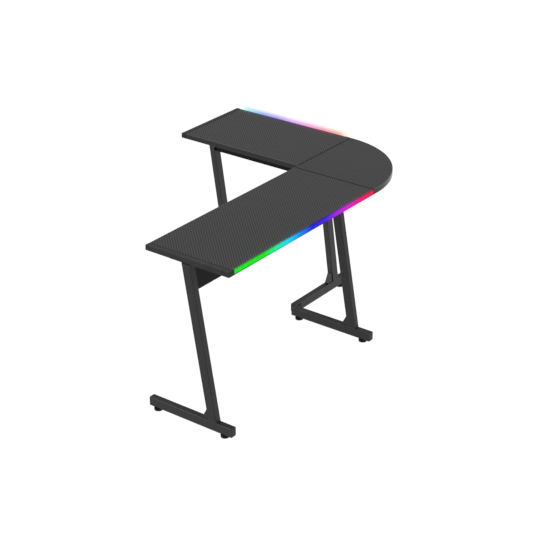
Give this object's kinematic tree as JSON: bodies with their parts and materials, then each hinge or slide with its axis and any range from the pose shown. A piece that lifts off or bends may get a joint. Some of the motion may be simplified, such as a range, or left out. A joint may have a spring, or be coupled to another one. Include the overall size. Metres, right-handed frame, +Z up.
{
  "type": "corner desk",
  "caption": "L-shaped corner desk: straight wings joined by a rounded corner top, on slanted-leg frames with levelling feet, with lit strips along the outer edges.",
  "frame": {"origin": "centre of the overall bounding box, on the floor under the levelling feet", "axes": "+Z up, +Y along the long wing from its free end towards the rounded corner, +X from the short wing's free end towards the rounded corner"},
  "size_m": [1.0785, 1.439, 0.75],
  "materials": {
    "board_laminate": "carbon-fibre patterned laminate, satin",
    "corner_laminate": "carbon-fibre patterned laminate, satin",
    "end_trim": "smooth satin",
    "edge_band": "smooth satin",
    "light_channel": "black anodised",
    "lamp_strip": "white strip with moulded lamps",
    "near_light_diffuser": "frosted translucent, lit from green to red",
    "far_light_diffuser": "frosted translucent, lit from blue to pink",
    "light_end_caps": "fine texture",
    "frame_steel": "satin black powder coat",
    "plate_steel": "satin black powder coat",
    "cap_plastic": "moulded, smooth",
    "insert_steel": "zinc plated",
    "beam_laminate": "plain black laminate",
    "zinc_steel": "zinc plated",
    "screw_steel": "black zinc plated",
    "controller_plastic": "fine spark texture",
    "circuit": "green solder mask",
    "button_rubber": "soft matte",
    "inlet_plastic": "moulded",
    "lead_sheath": "smooth",
    "clip_plastic": "moulded",
    "foot_plastic": "moulded, fine texture"
  },
  "bodies": {
    "desk": {"near_wing_board": "board_laminate", "far_wing_board": "board_laminate", "corner_board": "corner_laminate", "near_end_trim": "end_trim", "far_end_trim": "end_trim", "near_edge_band": "edge_band", "far_edge_band": "edge_band", "corner_edge_band": "edge_band", "near_light_channel": "light_channel", "near_light_strip": "lamp_strip", "near_light_diffuser": "near_light_diffuser", "far_light_channel": "light_channel", "far_light_strip": "lamp_strip", "far_light_diffuser": "far_light_diffuser", "light_end_caps": "light_end_caps", "near_end_foot_bar": "frame_steel", "near_corner_foot_bar": "frame_steel", "far_corner_foot_bar": "frame_steel", "far_end_foot_bar": "frame_steel", "near_end_leg": "frame_steel", "near_corner_leg": "frame_steel", "far_corner_leg": "frame_steel", "far_end_leg": "frame_steel", "leg_gussets": "frame_steel", "end_leg_plates": "plate_steel", "corner_leg_plates": "plate_steel", "foot_bar_caps": "cap_plastic", "foot_inserts": "insert_steel", "near_beam": "beam_laminate", "far_beam": "beam_laminate", "beam_brackets": "plate_steel", "seam_plates": "zinc_steel", "base_corner_bracket": "plate_steel", "board_screws": "screw_steel", "beam_screws": "screw_steel", "frame_bolts": "screw_steel", "controller_base": "controller_plastic", "controller_cover": "controller_plastic", "controller_circuit": "circuit", "controller_inlet": "inlet_plastic", "controller_screws": "screw_steel", "near_light_lead": "lead_sheath", "far_light_lead": "lead_sheath", "lead_clips": "clip_plastic"},
    "controller_button": {"controller_button": "button_rubber"},
    "near_end_inner_foot": {"near_end_inner_foot": "foot_plastic"},
    "near_end_outer_foot": {"near_end_outer_foot": "foot_plastic"},
    "near_corner_inner_foot": {"near_corner_inner_foot": "foot_plastic"},
    "near_corner_outer_foot": {"near_corner_outer_foot": "foot_plastic"},
    "far_corner_inner_foot": {"far_corner_inner_foot": "foot_plastic"},
    "far_corner_outer_foot": {"far_corner_outer_foot": "foot_plastic"},
    "far_end_inner_foot": {"far_end_inner_foot": "foot_plastic"},
    "far_end_outer_foot": {"far_end_outer_foot": "foot_plastic"}
  },
  "joints": [
    {"name": "near_end_inner_foot_height", "type": "slide", "parent": "desk", "child": "near_end_inner_foot", "axis": [0, 0, -1], "range_m": [0, 0.01]},
    {"name": "near_end_outer_foot_height", "type": "slide", "parent": "desk", "child": "near_end_outer_foot", "axis": [0, 0, -1], "range_m": [0, 0.01]},
    {"name": "near_corner_inner_foot_height", "type": "slide", "parent": "desk", "child": "near_corner_inner_foot", "axis": [0, 0, -1], "range_m": [0, 0.01]},
    {"name": "near_corner_outer_foot_height", "type": "slide", "parent": "desk", "child": "near_corner_outer_foot", "axis": [0, 0, -1], "range_m": [0, 0.01]},
    {"name": "far_corner_inner_foot_height", "type": "slide", "parent": "desk", "child": "far_corner_inner_foot", "axis": [0, 0, -1], "range_m": [0, 0.01]},
    {"name": "far_corner_outer_foot_height", "type": "slide", "parent": "desk", "child": "far_corner_outer_foot", "axis": [0, 0, -1], "range_m": [0, 0.01]},
    {"name": "far_end_inner_foot_height", "type": "slide", "parent": "desk", "child": "far_end_inner_foot", "axis": [0, 0, -1], "range_m": [0, 0.01]},
    {"name": "far_end_outer_foot_height", "type": "slide", "parent": "desk", "child": "far_end_outer_foot", "axis": [0, 0, -1], "range_m": [0, 0.01]},
    {"name": "controller_button_press", "type": "slide", "parent": "desk", "child": "controller_button", "axis": [1, 0, 0], "range_m": [0, 0.0012], "stiffness_N_per_m": 600, "springref_m": -0.002}
  ]
}
